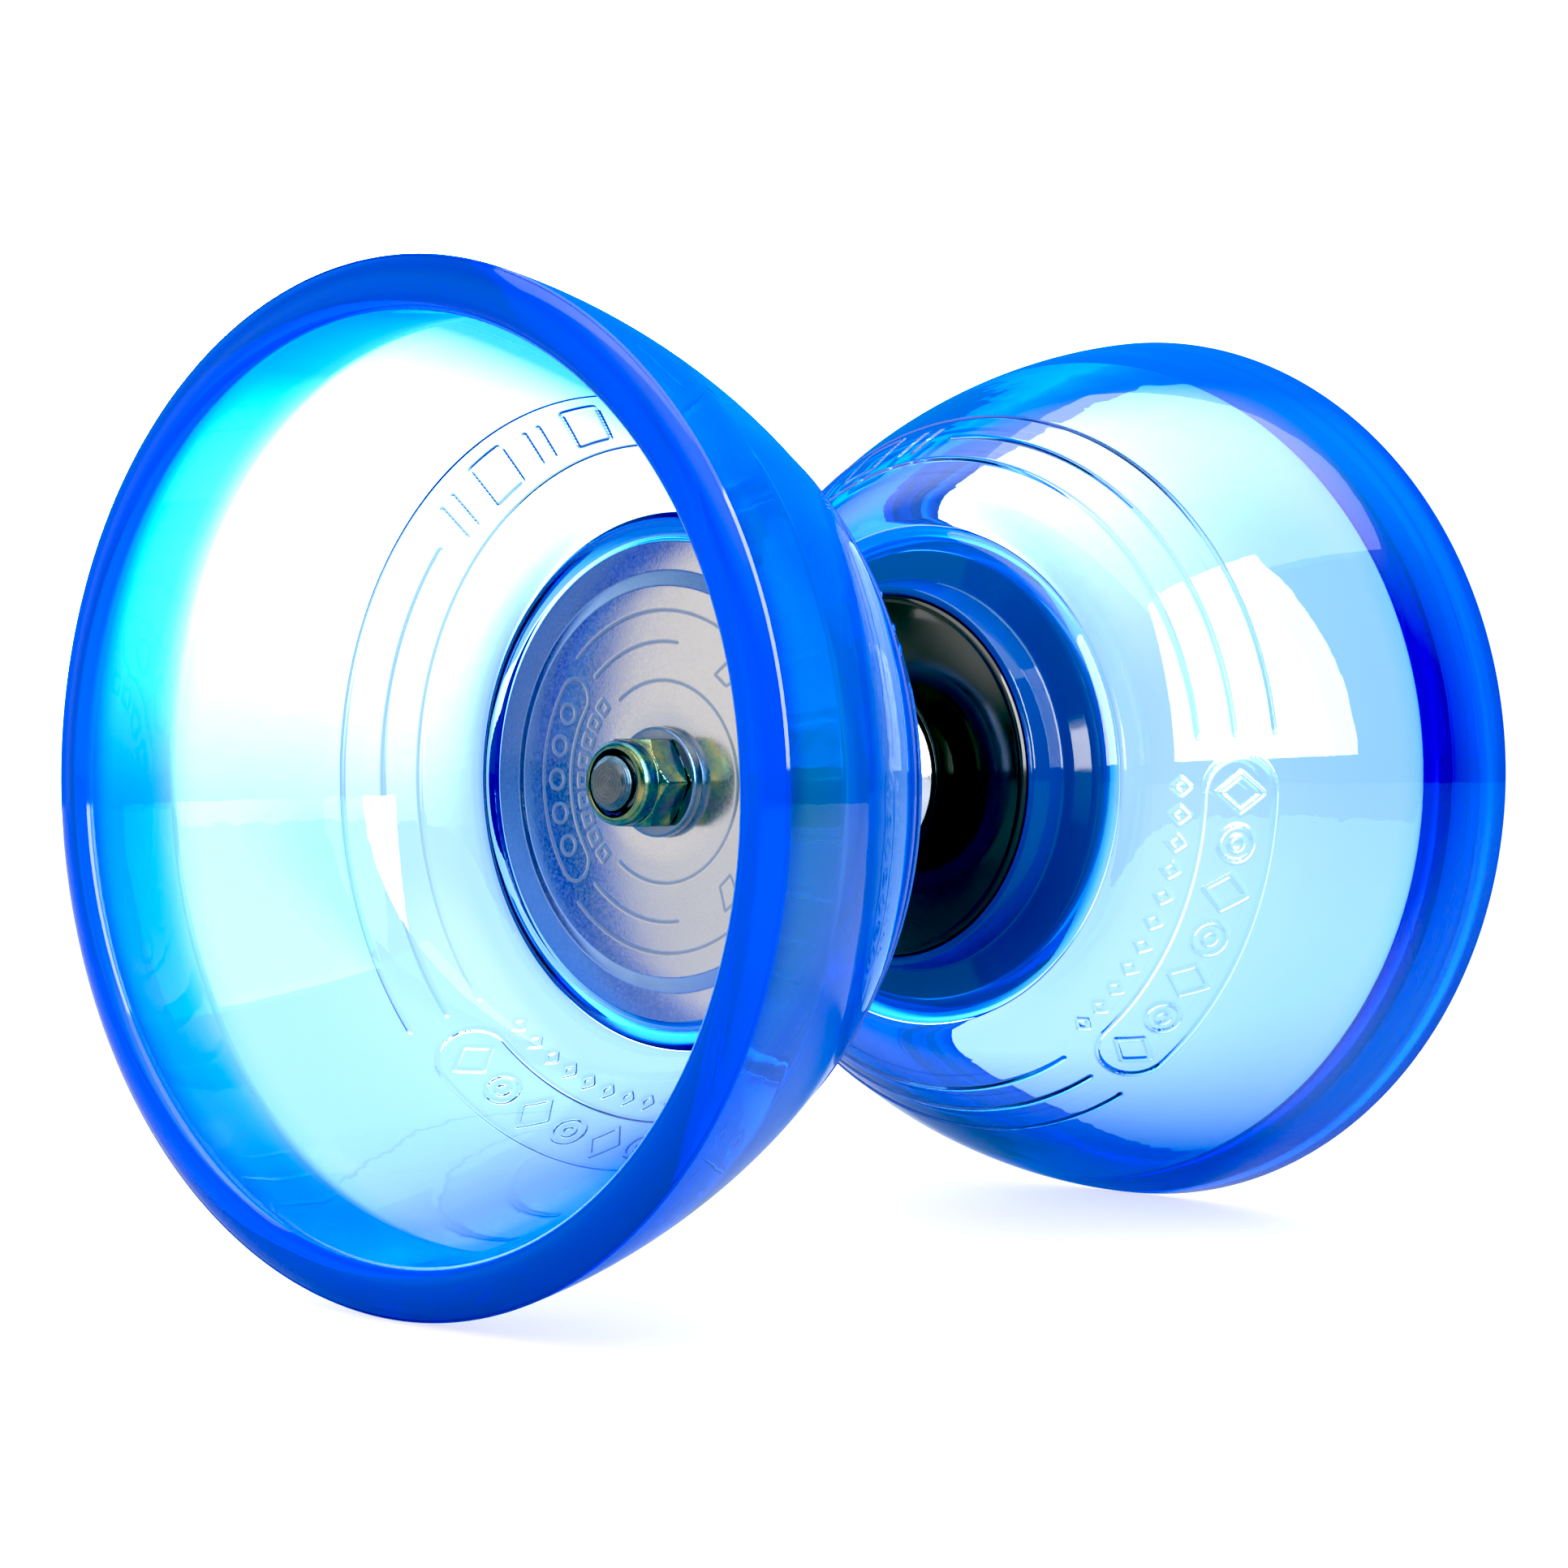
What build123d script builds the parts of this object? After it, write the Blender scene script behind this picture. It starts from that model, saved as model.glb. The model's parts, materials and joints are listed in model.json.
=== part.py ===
"""Bearing diabolo (two-cup spinning yo-yo), modelled piece by piece in millimetres.

The spin axis is the Y axis, +Z is up, and the origin is the middle of the axle.
The front cup opens towards -Y and the rear cup towards +Y. Everything on the rear
side is modelled first; the front side is its mirror image in the XZ plane.
"""
from build123d import *
from math import cos, radians, sin
import os

# ---------------------------------------------------------------- cups
CUP_R = 62.5                # largest radius of a cup
CUP_FRONT = 75.5            # from the middle of the axle to the front of a rim
WALL_TOP = 73.4             # where the outer wall ends, at its widest
WALL_CURVE = (43.8, 22.1), (59.1, 49.5)      # how the outer wall bends between its ends
WALL_IN_CURVE = (52.4, 47.5), (42.4, 24.4)
LIP_CREST_R = 58.0          # the rim's edge is highest here
LIP_IN_R = 55.9             # where the edge's inner rounding meets the rim's inside wall
LIP_CROWN_R = 5.88          # rounding from the crest out to the crease
LIP_CROWN_END = 43.0        # degrees up from the radius, where that rounding stops
RIM_START = 60.0            # where the wall starts to thicken into the rim
RIM_START_R = 56.3          # inside radius there
BOWL_START = 23.7           # outside corner between boss and bowl wall
BOWL_START_R = 34.4
BOWL_IN_START = 26.4        # inside corner between bead and bowl wall
BOWL_IN_START_R = 33.5
BOSS_FACE = 16.4            # face of the cup's boss, towards the middle
BOSS_TOP_R = 25.7
BOSS_FOOT_R = 26.6
BOSS_LAP = 0.15             # room between the boss and the black flange's rim
ANNULUS = 21.5              # flat ring round the boss
ANNULUS_FILLET = 3.0
SHOULDER_INSET = 0.2        # the fillet ends this far inside the wall's first corner
SHOULDER_DROP = 0.8
BEAD_TOP = 27.2             # raised bead round the metal plate
RECESS_R = 30.9             # recess for the metal plate
RECESS_DEPTH = 0.9
RIB_RADII = (43.5, 46.6, 49.7)
RIB_SECTION_R = 0.55        # a rib is a thin half-round bead
RIB_GAP = 68.0              # degrees left free for the badge
RIB_MIDDLE_GAP = 124.0      # degrees left free opposite, in the middle rib only
FRONT_BADGE_ANGLE = -103.0  # where the badge sits, from +X towards +Z
REAR_BADGE_ANGLE = -26.5

# ---------------------------------------------------------------- metal plates
PLATE_R = 30.6
PLATE_THICK = 1.0
PLATE_BACK = 25.3           # back of the plate's outer ring
PLATE_STEP = 1.0            # the middle stands this much further out
PLATE_FOLD_OUT_R = 26.8
PLATE_FOLD_IN_R = 24.9
PLATE_FOLD_SHIFT = 0.35     # the fold's back is this far inside its front
PLATE_HOLE_R = 3.7

# ---------------------------------------------------------------- black hub flanges
FLANGE_R = 24.55
FLANGE_BACK = 17.4
FLANGE_EDGE_R = 1.0         # width of the flange's rounded edge
FLANGE_EDGE_LOW = 15.75     # the rounding runs from here
FLANGE_EDGE_MID = 0.22, 16.12                # through this far in, at this height
FLANGE_EDGE_HIGH = 16.75    # to here
FLARE_MID = 19.3, 13.35     # the trumpet's curve passes here
HUB_FACE = 11.5             # inner face, round the end of the barrel
HUB_MOUTH_R = 12.95         # recess that takes the end of the barrel
HUB_MOUTH_LAND = 0.35
HUB_FLOOR = 13.0
SPIGOT_FLATS = 26.0         # hexagonal spigot that keys the cup
SPIGOT_END = 26.3
SPIGOT_CLEARANCE = 0.05
HUB_BORE_R = 4.0

# ---------------------------------------------------------------- barrel
BARREL_HALF = 12.0
BARREL_END_R = 12.6
BARREL_WAIST_R = 10.0
BARREL_CHAMFER = 0.4

# ---------------------------------------------------------------- shaft and fasteners
THREAD_R = 3.5              # M7
THREAD_CORE_R = 2.95
THREAD_PITCH = 1.0
SHAFT_R = 4.0
SHAFT_END = 37.4
SHAFT_END_R = 2.6
SHAFT_POINT = 0.9           # length of the chamfered end
THREAD_RUNOUT = 1.5         # plain length at the end of the thread
THREAD_OFFSET = 1.0         # the thread starts this far outside the barrel
WASHER_R = 7.0
WASHER_HOLE_R = 3.7
WASHER_THICK = 1.5
WASHER_CHAMFER = 0.15
NUT_FLATS = 11.0
NUT_HEX_HEIGHT = 4.7
NUT_HEIGHT = 7.4
NUT_COLLAR_R = 5.4
NUT_LIP_R = 4.2
NUT_CORNER = 0.6            # chamfer at the hexagon's base, along the radius
NUT_BASE_CHAMFER = 0.35
NUT_TOP_CHAMFER = 0.75
NUT_OVERLAP = 0.4           # the collar starts this far inside the hexagon
NUT_ROLL = 1.1              # height of the collar's rolled edge
NUT_ROLL_MID = 0.33
INSERT_R = 4.8
INSERT_HEIGHT = 2.1
INSERT_INSET = 0.3
SPACER_R = 5.2

# ---------------------------------------------------------------- ball bearings 7 x 19 x 6
BEARING_WIDTH = 6.0
BEARING_OUT_R = 9.5
BALL_R = 1.75
BALL_PITCH_R = 6.5
BALL_COUNT = 7
RACE_PLAY = 0.05
INNER_SHOULDER_R = 5.35
OUTER_SHOULDER_R = 7.65
SHIELD_SEAT_R = 8.2
SHIELD_HOLE_R = 5.5
SHIELD_THICK = 0.3
SHIELD_INSET = 0.15
CAGE_IN_R = 6.1
CAGE_OUT_R = 6.9
CAGE_HALF = 2.15
CAGE_POCKET_R = 1.82

# ---------------------------------------------------------------- one-way clutch 8 x 12 x 12
CLUTCH_R = 6.0
CLUTCH_WALL = 0.5
CLUTCH_HALF = 6.0
CLUTCH_LIP_R = 4.6
CLUTCH_LIP = 0.6
ROLLER_R = 0.65
ROLLER_COUNT = 8
ROLLER_HALF = 4.3
ROLLER_PITCH_R = SHAFT_R + ROLLER_R + 0.02
CLUTCH_CAGE_IN_R = 4.1
CLUTCH_CAGE_HALF = 5.3
SPRING_THICK = 0.12
SPRING_LENGTH = 0.7
SPRING_WIDTH = 3.0
SPRING_TILT = 18.0
SPRING_CLEAR = 0.28
POCKET_SHIFT = 0.35         # a cage window leaves room for the spring on one side
POCKET_DEPTH = 2.4
POCKET_ROOM = 1.0
POCKET_END_ROOM = 0.2
CLUTCH_GAP = 0.03           # running gap between the clutch's own pieces


def lathe(outline):
    """A solid turned about the Y axis from a closed outline in the XY plane."""
    return revolve(make_face(outline), Axis.Y)


def turned(*points):
    """A solid turned about the Y axis from (radius, y) corner points."""
    return lathe(Polyline(*points, close=True))


def front_of(rear_piece):
    """The mirror image on the other side of the XZ plane, solid by solid."""
    solids = [mirror(solid, about=Plane.XZ) for solid in rear_piece.solids()]
    return solids[0] if len(solids) == 1 else Compound(solids)


def about_y(piece, degrees):
    """Turns a piece about the spin axis, from +X towards +Z."""
    return Rot(Y=-degrees) * piece


def tube_y(inner_r, outer_r, low_y, high_y):
    return turned((inner_r, low_y), (outer_r, low_y), (outer_r, high_y), (inner_r, high_y))


def hexagon_y(flats, low_y, high_y):
    """A hexagonal bar along Y with one pair of corners straight up and down."""
    outline = RegularPolygon(flats / 2, 6, major_radius=False, rotation=30)
    bar = extrude(Plane.XZ * outline, -(high_y - low_y))
    return Pos(0, low_y, 0) * bar


# ---------------------------------------------------------------- the cup
def bowl_outside():
    """The convex outer wall, from the boss to the widest point of the rim."""
    return Bezier((BOWL_START_R, BOWL_START), *WALL_CURVE, (CUP_R, WALL_TOP))


def bowl_inside():
    """The inner wall, from the start of the rim back to the bead, a little thinner at the boss."""
    return Bezier((RIM_START_R, RIM_START), *WALL_IN_CURVE, (BOWL_IN_START_R, BOWL_IN_START))


def on_circle(centre_r, centre_y, radius, degrees):
    """A point on a circle, from +radius towards +y."""
    angle = radians(degrees)
    return centre_r + radius * cos(angle), centre_y + radius * sin(angle)


def lip():
    """The rim's edge: a crowned face that stops at a crease outside and rounds off inside."""
    crown = (LIP_CREST_R, CUP_FRONT - LIP_CROWN_R, LIP_CROWN_R)
    crease = on_circle(*crown, LIP_CROWN_END)
    inner_r = LIP_CREST_R - LIP_IN_R
    inner = (LIP_CREST_R, CUP_FRONT - inner_r, inner_r)
    return [
        Line((CUP_R, WALL_TOP), crease),
        ThreePointArc(crease, on_circle(*crown, (LIP_CROWN_END + 90) / 2), (LIP_CREST_R, CUP_FRONT)),
        ThreePointArc((LIP_CREST_R, CUP_FRONT), on_circle(*inner, 135), (LIP_IN_R, CUP_FRONT - inner_r)),
        Line((LIP_IN_R, CUP_FRONT - inner_r), (RIM_START_R, RIM_START))]


def rib(radius, start, sweep):
    """Part of a thin raised ring that follows the outer wall at one radius."""
    wall = bowl_outside()
    crossing = wall.intersect(Line((radius, 0), (radius, CUP_FRONT)))
    centre = crossing.vertices()[0] if hasattr(crossing, "vertices") else crossing
    section = Pos(radius, centre.Y) * Circle(RIB_SECTION_R)
    return about_y(revolve(section, Axis.Y, -sweep), start)


def rear_cup(badge_angle):
    shoulder_r = BOWL_START_R - SHOULDER_INSET
    fillet_r, fillet_y = shoulder_r - ANNULUS_FILLET, ANNULUS + ANNULUS_FILLET
    recess = (RECESS_R, PLATE_BACK + RECESS_DEPTH)
    bead = ThreePointArc(
        (BOWL_IN_START_R, BOWL_IN_START), ((BOWL_IN_START_R + RECESS_R) / 2, BEAD_TOP), recess)
    shoulder = ThreePointArc(
        (fillet_r, ANNULUS), on_circle(fillet_r, fillet_y, ANNULUS_FILLET, -45),
        (shoulder_r, fillet_y - SHOULDER_DROP))
    hole_r = SPIGOT_FLATS / 2
    lap_r = FLANGE_R + BOSS_LAP
    back = Polyline(
        recess, (RECESS_R, PLATE_BACK), (hole_r, PLATE_BACK), (hole_r, FLANGE_BACK),
        (lap_r, FLANGE_BACK), (lap_r, BOSS_FACE), (BOSS_TOP_R, BOSS_FACE),
        (BOSS_FOOT_R, ANNULUS), (fillet_r, ANNULUS))
    corner = Line((shoulder_r, fillet_y - SHOULDER_DROP), (BOWL_START_R, BOWL_START))
    body = lathe(Curve() + [bowl_outside(), *lip(), bowl_inside(), bead, back, shoulder, corner])
    body -= hexagon_y(SPIGOT_FLATS + 2 * SPIGOT_CLEARANCE, BOSS_FACE, PLATE_BACK + 1)
    free = RIB_GAP / 2
    middle_free = RIB_MIDDLE_GAP / 2
    inner, middle, outer = RIB_RADII
    for radius in (inner, outer):
        body += rib(radius, badge_angle + free, 360 - RIB_GAP)
    half_sweep = 180 - free - middle_free
    body += rib(middle, badge_angle + free, half_sweep)
    body += rib(middle, badge_angle - free - half_sweep, half_sweep)
    return body


# ---------------------------------------------------------------- plates, hubs, fasteners
def rear_plate():
    """A pressed disc: a flat outer ring, a sloping fold and a raised middle."""
    step = PLATE_STEP
    back = PLATE_BACK
    top = PLATE_BACK + PLATE_THICK
    return turned(
        (PLATE_HOLE_R, back + step), (PLATE_FOLD_IN_R - PLATE_FOLD_SHIFT, back + step),
        (PLATE_FOLD_OUT_R - PLATE_FOLD_SHIFT, back),
        (PLATE_R, back), (PLATE_R, top), (PLATE_FOLD_OUT_R, top), (PLATE_FOLD_IN_R, top + step),
        (PLATE_HOLE_R, top + step))


def rear_hub():
    """A black flange: a trumpet that guides the string, with a hexagonal spigot behind."""
    land_r = HUB_MOUTH_R + HUB_MOUTH_LAND
    edge_low = (FLANGE_R - FLANGE_EDGE_R, FLANGE_EDGE_LOW)
    edge_in, edge_y = FLANGE_EDGE_MID
    flare = ThreePointArc((land_r, HUB_FACE), FLARE_MID, edge_low)
    edge = ThreePointArc(edge_low, (FLANGE_R - edge_in, edge_y), (FLANGE_R, FLANGE_EDGE_HIGH))
    rest = Polyline(
        (FLANGE_R, FLANGE_EDGE_HIGH), (FLANGE_R, FLANGE_BACK), (HUB_BORE_R, FLANGE_BACK),
        (HUB_BORE_R, HUB_FLOOR), (HUB_MOUTH_R, HUB_FLOOR), (HUB_MOUTH_R, HUB_FACE), (land_r, HUB_FACE))
    body = lathe(Curve() + [flare, edge, rest])
    body += hexagon_y(SPIGOT_FLATS, FLANGE_BACK, SPIGOT_END)
    return body - tube_y(0, HUB_BORE_R, HUB_FLOOR, SPIGOT_END)


def rear_washer():
    low = SPIGOT_END + PLATE_THICK
    ring = tube_y(WASHER_HOLE_R, WASHER_R, low, low + WASHER_THICK)
    return chamfer(ring.edges().sort_by(Axis.Y)[-1:], WASHER_CHAMFER)


def nut_base():
    return SPIGOT_END + PLATE_THICK + WASHER_THICK


def rear_nut():
    """A hexagon nut with a round collar that holds a nylon ring."""
    base = nut_base()
    hex_top = base + NUT_HEX_HEIGHT
    top = base + NUT_HEIGHT
    corner_r = NUT_FLATS / 2 / cos(radians(30))
    envelope = turned(
        (0, base), (corner_r - NUT_CORNER, base), (corner_r, base + NUT_BASE_CHAMFER),
        (corner_r, hex_top - NUT_TOP_CHAMFER), (NUT_COLLAR_R, hex_top), (0, hex_top))
    body = hexagon_y(NUT_FLATS, base, hex_top) & envelope
    collar_low = hex_top - NUT_OVERLAP
    roll = (NUT_COLLAR_R, top - NUT_ROLL)
    body += lathe(Curve() + [
        Polyline((NUT_LIP_R, top), (0, top), (0, collar_low), (NUT_COLLAR_R, collar_low), roll),
        ThreePointArc(roll, (NUT_COLLAR_R - NUT_ROLL_MID, top - NUT_ROLL_MID), (NUT_LIP_R, top))])
    insert_low = top - INSERT_INSET - INSERT_HEIGHT
    body -= tube_y(0, THREAD_R, base, top)
    body -= tube_y(0, INSERT_R, insert_low, insert_low + INSERT_HEIGHT)
    return body - tube_y(0, NUT_LIP_R, insert_low, top)


def rear_nut_insert():
    top = nut_base() + NUT_HEIGHT - INSERT_INSET
    return tube_y(THREAD_R, INSERT_R, top - INSERT_HEIGHT, top)


def thread_crests(low_y, high_y):
    """Outline points for round thread grooves between two heights, as far as whole pitches fit."""
    points = []
    y = low_y
    while y + THREAD_PITCH <= high_y + 1e-6:
        points += [(THREAD_R, y), (THREAD_CORE_R, y + THREAD_PITCH / 2)]
        y += THREAD_PITCH
    return points + [(THREAD_R, y)]


def shaft():
    """One steel rod: plain middle for the clutch, plain seats for the bearings, threaded ends."""
    crests = thread_crests(BARREL_HALF + THREAD_OFFSET, SHAFT_END - THREAD_RUNOUT)
    half = [(SHAFT_R, 0), (SHAFT_R, CLUTCH_HALF), (THREAD_R, CLUTCH_HALF)] + crests
    half += [(THREAD_R, SHAFT_END - SHAFT_POINT), (SHAFT_END_R, SHAFT_END), (0, SHAFT_END)]
    rear_half = turned((0, 0), *half)
    return rear_half + front_of(rear_half)


def rear_spacer():
    return tube_y(THREAD_R, SPACER_R, BARREL_HALF, HUB_FLOOR)


# ---------------------------------------------------------------- barrel and bearings
def barrel():
    """The drum that the string runs on, with a waisted groove and a stepped bore."""
    ends = BARREL_HALF - BARREL_CHAMFER
    groove = ThreePointArc((BARREL_END_R, -ends), (BARREL_WAIST_R, 0), (BARREL_END_R, ends))
    seat = BARREL_HALF - BEARING_WIDTH
    bore = Polyline(
        (BARREL_END_R, ends), (BARREL_END_R - BARREL_CHAMFER, BARREL_HALF), (BEARING_OUT_R, BARREL_HALF),
        (BEARING_OUT_R, seat), (CLUTCH_R, seat), (CLUTCH_R, -seat), (BEARING_OUT_R, -seat),
        (BEARING_OUT_R, -BARREL_HALF), (BARREL_END_R - BARREL_CHAMFER, -BARREL_HALF), (BARREL_END_R, -ends))
    return lathe(Curve() + [groove, bore])


def bearing_middle():
    return BARREL_HALF - BEARING_WIDTH / 2


def race_groove():
    """The torus swept by a ball, with its play."""
    section = Pos(BALL_PITCH_R, bearing_middle()) * Circle(BALL_R + RACE_PLAY)
    return revolve(section, Axis.Y)


def rear_inner_race():
    low = BARREL_HALF - BEARING_WIDTH
    return tube_y(THREAD_R, INNER_SHOULDER_R, low, BARREL_HALF) - race_groove()


def rear_outer_race():
    low = BARREL_HALF - BEARING_WIDTH
    seat = SHIELD_INSET + SHIELD_THICK
    ring = turned(
        (SHIELD_SEAT_R, low), (BEARING_OUT_R, low), (BEARING_OUT_R, BARREL_HALF), (SHIELD_SEAT_R, BARREL_HALF),
        (SHIELD_SEAT_R, BARREL_HALF - seat), (OUTER_SHOULDER_R, BARREL_HALF - seat),
        (OUTER_SHOULDER_R, low + seat), (SHIELD_SEAT_R, low + seat))
    return ring - race_groove()


def rear_shields():
    low = BARREL_HALF - BEARING_WIDTH + SHIELD_INSET
    high = BARREL_HALF - SHIELD_INSET - SHIELD_THICK
    discs = [tube_y(SHIELD_HOLE_R, SHIELD_SEAT_R, y, y + SHIELD_THICK) for y in (low, high)]
    return Compound(discs)


def ring_of_balls(piece):
    """A piece made once on +X and repeated at every ball."""
    return [about_y(piece, 360 / BALL_COUNT * index) for index in range(BALL_COUNT)]


def rear_balls():
    return Compound(ring_of_balls(Pos(BALL_PITCH_R, bearing_middle(), 0) * Sphere(BALL_R)))


def rear_ball_cage():
    """A thin ring with a round window at each ball."""
    middle = bearing_middle()
    ring = tube_y(CAGE_IN_R, CAGE_OUT_R, middle - CAGE_HALF, middle + CAGE_HALF)
    window = Pos(BALL_PITCH_R, middle, 0) * Rot(Y=90) * Cylinder(CAGE_POCKET_R, 2)
    for hole in ring_of_balls(window):
        ring -= hole
    return ring


# ---------------------------------------------------------------- one-way clutch
def clutch_shell():
    """A drawn cup, open along the shaft, with a lip at each end and a smooth track inside."""
    lip_start = CLUTCH_HALF - CLUTCH_LIP
    inside = CLUTCH_R - CLUTCH_WALL
    return turned(
        (CLUTCH_LIP_R, -CLUTCH_HALF), (CLUTCH_R, -CLUTCH_HALF), (CLUTCH_R, CLUTCH_HALF),
        (CLUTCH_LIP_R, CLUTCH_HALF), (CLUTCH_LIP_R, lip_start), (inside, lip_start),
        (inside, -lip_start), (CLUTCH_LIP_R, -lip_start))


def clutch_pocket(index):
    """The window in the clutch cage that one roller and its spring sit in."""
    window = Pos(ROLLER_PITCH_R, 0, POCKET_SHIFT) * Box(
        POCKET_DEPTH, 2 * ROLLER_HALF + POCKET_END_ROOM, 2 * ROLLER_R + POCKET_ROOM)
    return about_y(window, 360 / ROLLER_COUNT * index)


def clutch_cage():
    outer = CLUTCH_R - CLUTCH_WALL - CLUTCH_GAP
    ring = tube_y(CLUTCH_CAGE_IN_R, outer, -CLUTCH_CAGE_HALF, CLUTCH_CAGE_HALF)
    for index in range(ROLLER_COUNT):
        ring -= clutch_pocket(index)
    return ring


def clutch_rollers():
    roller = Pos(ROLLER_PITCH_R, -ROLLER_HALF, 0) * Rot(X=-90) * Cylinder(
        ROLLER_R, 2 * ROLLER_HALF, align=(Align.CENTER, Align.CENTER, Align.MIN))
    return Compound([about_y(roller, 360 / ROLLER_COUNT * index) for index in range(ROLLER_COUNT)])


def clutch_springs():
    """A leaf beside each roller that keeps it ready to wedge."""
    leaf = Pos(ROLLER_PITCH_R, 0, ROLLER_R + SPRING_CLEAR) * Rot(Y=SPRING_TILT) * Box(
        SPRING_LENGTH, SPRING_WIDTH, SPRING_THICK)
    return Compound([about_y(leaf, 360 / ROLLER_COUNT * index) for index in range(ROLLER_COUNT)])


def pairs():
    """The pieces that come once per side: name without its side, and the rear piece."""
    yield "plate", rear_plate()
    yield "hub", rear_hub()
    yield "washer", rear_washer()
    yield "nut", rear_nut()
    yield "nut_insert", rear_nut_insert()
    yield "spacer", rear_spacer()
    yield "bearing_inner_race", rear_inner_race()
    yield "bearing_outer_race", rear_outer_race()
    yield "bearing_shields", rear_shields()
    yield "bearing_balls", rear_balls()
    yield "bearing_cage", rear_ball_cage()


def main():
    os.makedirs("parts", exist_ok=True)
    nodes = {
        "front_cup": front_of(rear_cup(FRONT_BADGE_ANGLE)),
        "rear_cup": rear_cup(REAR_BADGE_ANGLE),
        "shaft": shaft(),
        "barrel": barrel(),
        "clutch_shell": clutch_shell(),
        "clutch_cage": clutch_cage(),
        "clutch_rollers": clutch_rollers(),
        "clutch_springs": clutch_springs(),
    }
    for name, piece in pairs():
        nodes["rear_" + name] = piece
        nodes["front_" + name] = front_of(piece)
    for name, piece in nodes.items():
        export_step(piece, f"parts/{name}.step")
        print(name, round(piece.volume, 1))


main()
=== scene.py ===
"""A bearing diabolo (two-cup string yo-yo) in clear blue plastic, dressed for its studio view.

Lengths in the tables are millimetres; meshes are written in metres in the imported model's frame.
The spin axis is Y and the front cup opens towards -Y. Outlines are given for the rear pieces, and
side = -1 mirrors them in the XZ plane for the front ones.
"""
import json
from math import cos, pi, radians, sin

import bpy
import numpy as np
from mathutils import Matrix, Vector


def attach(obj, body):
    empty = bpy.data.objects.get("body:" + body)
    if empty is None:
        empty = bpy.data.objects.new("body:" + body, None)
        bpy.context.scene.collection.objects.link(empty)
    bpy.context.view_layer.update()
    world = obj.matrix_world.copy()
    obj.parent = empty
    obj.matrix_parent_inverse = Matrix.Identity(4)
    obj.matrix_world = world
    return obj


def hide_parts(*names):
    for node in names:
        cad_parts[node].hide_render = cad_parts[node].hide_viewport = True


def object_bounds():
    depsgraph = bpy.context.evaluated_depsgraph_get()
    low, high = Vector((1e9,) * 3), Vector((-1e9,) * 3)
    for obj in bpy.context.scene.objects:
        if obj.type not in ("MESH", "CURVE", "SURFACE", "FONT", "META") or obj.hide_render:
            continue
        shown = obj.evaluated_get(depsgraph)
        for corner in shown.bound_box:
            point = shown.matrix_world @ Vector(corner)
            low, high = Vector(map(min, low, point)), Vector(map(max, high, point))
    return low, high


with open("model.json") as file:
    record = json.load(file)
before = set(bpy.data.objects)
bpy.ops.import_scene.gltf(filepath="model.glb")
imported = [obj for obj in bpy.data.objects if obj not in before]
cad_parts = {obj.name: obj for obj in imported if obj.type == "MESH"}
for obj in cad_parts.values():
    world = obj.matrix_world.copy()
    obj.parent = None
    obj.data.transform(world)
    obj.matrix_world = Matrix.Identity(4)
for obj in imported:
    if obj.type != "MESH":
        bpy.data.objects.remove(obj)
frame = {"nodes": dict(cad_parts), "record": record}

cad_low, cad_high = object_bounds()
MM = 0.001
SIDES = {"rear": 1, "front": -1}
BADGE_ANGLE = {"rear": -26.5, "front": -103.0}   # degrees from +X towards +Z

# where pieces meet: y of the faces, and radii
HUB_SEAT, PLATE_SEAT, SPIGOT_END = 17.4, 25.3, 26.3
PLATE_FACE, WASHER_FACE = 27.3, 28.8
ROD_R, BORE_R, THREAD_R = 4.0, 3.7, 3.5
NUT_FLATS, CUP_FLATS, SPIGOT_FLATS = 11.0, 26.1, 26.0

# ---------------------------------------------------------------- outlines in (radius, y)


def bezier(a, b, c, d, count):
    t = np.linspace(0, 1, count)[:, None]
    a, b, c, d = (np.array(p, float) for p in (a, b, c, d))
    return (1 - t) ** 3 * a + 3 * (1 - t) ** 2 * t * b + 3 * (1 - t) * t ** 2 * c + t ** 3 * d


def arc(centre, radius, start, end, count):
    """Points on a circle, angles in degrees from +radius towards +y."""
    angles = np.radians(np.linspace(start, end, count))
    return np.array([centre[0] + radius * np.cos(angles), centre[1] + radius * np.sin(angles)]).T


def through(a, b, c, count):
    """Points on the circle through three points, from a to c."""
    a, b, c = (np.array(p, float) for p in (a, b, c))
    rows = 2 * np.array([b - a, c - a])
    centre = np.linalg.solve(rows, [b @ b - a @ a, c @ c - a @ a])
    angles = [np.arctan2(*(p - centre)[::-1]) for p in (a, b, c)]
    turn = (angles[2] - angles[0]) % (2 * pi)
    if (angles[1] - angles[0]) % (2 * pi) > turn:
        turn -= 2 * pi
    steps = angles[0] + np.linspace(0, 1, count) * turn
    return centre + np.linalg.norm(a - centre) * np.array([np.cos(steps), np.sin(steps)]).T


def rounded(corners, steps=5):
    """An open outline of (radius, y, rounding) corners with their roundings drawn in."""
    points = []
    for i, corner in enumerate(corners):
        here = np.array(corner[:2], float)
        size = corner[2] if len(corner) > 2 else 0
        if not size or i in (0, len(corners) - 1):
            points.append(here)
            continue
        back, ahead = (np.array(corners[j][:2], float) - here for j in (i - 1, i + 1))
        back, ahead = back / np.linalg.norm(back), ahead / np.linalg.norm(ahead)
        half = np.arccos(np.clip(back @ ahead, -1, 1)) / 2
        reach = size / np.tan(half)
        middle = here + (back + ahead) / np.linalg.norm(back + ahead) * (size / np.sin(half) - size)
        points += list(through(here + back * reach, middle, here + ahead * reach, steps))
    return np.array(points)


def finely(points, step):
    """The same outline with no stretch longer than step."""
    out = [points[0]]
    for a, b in zip(points[:-1], points[1:]):
        count = max(1, int(np.ceil(np.linalg.norm(b - a) / step)))
        out += [a + (b - a) * k / count for k in range(1, count + 1)]
    return np.array(out)


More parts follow.
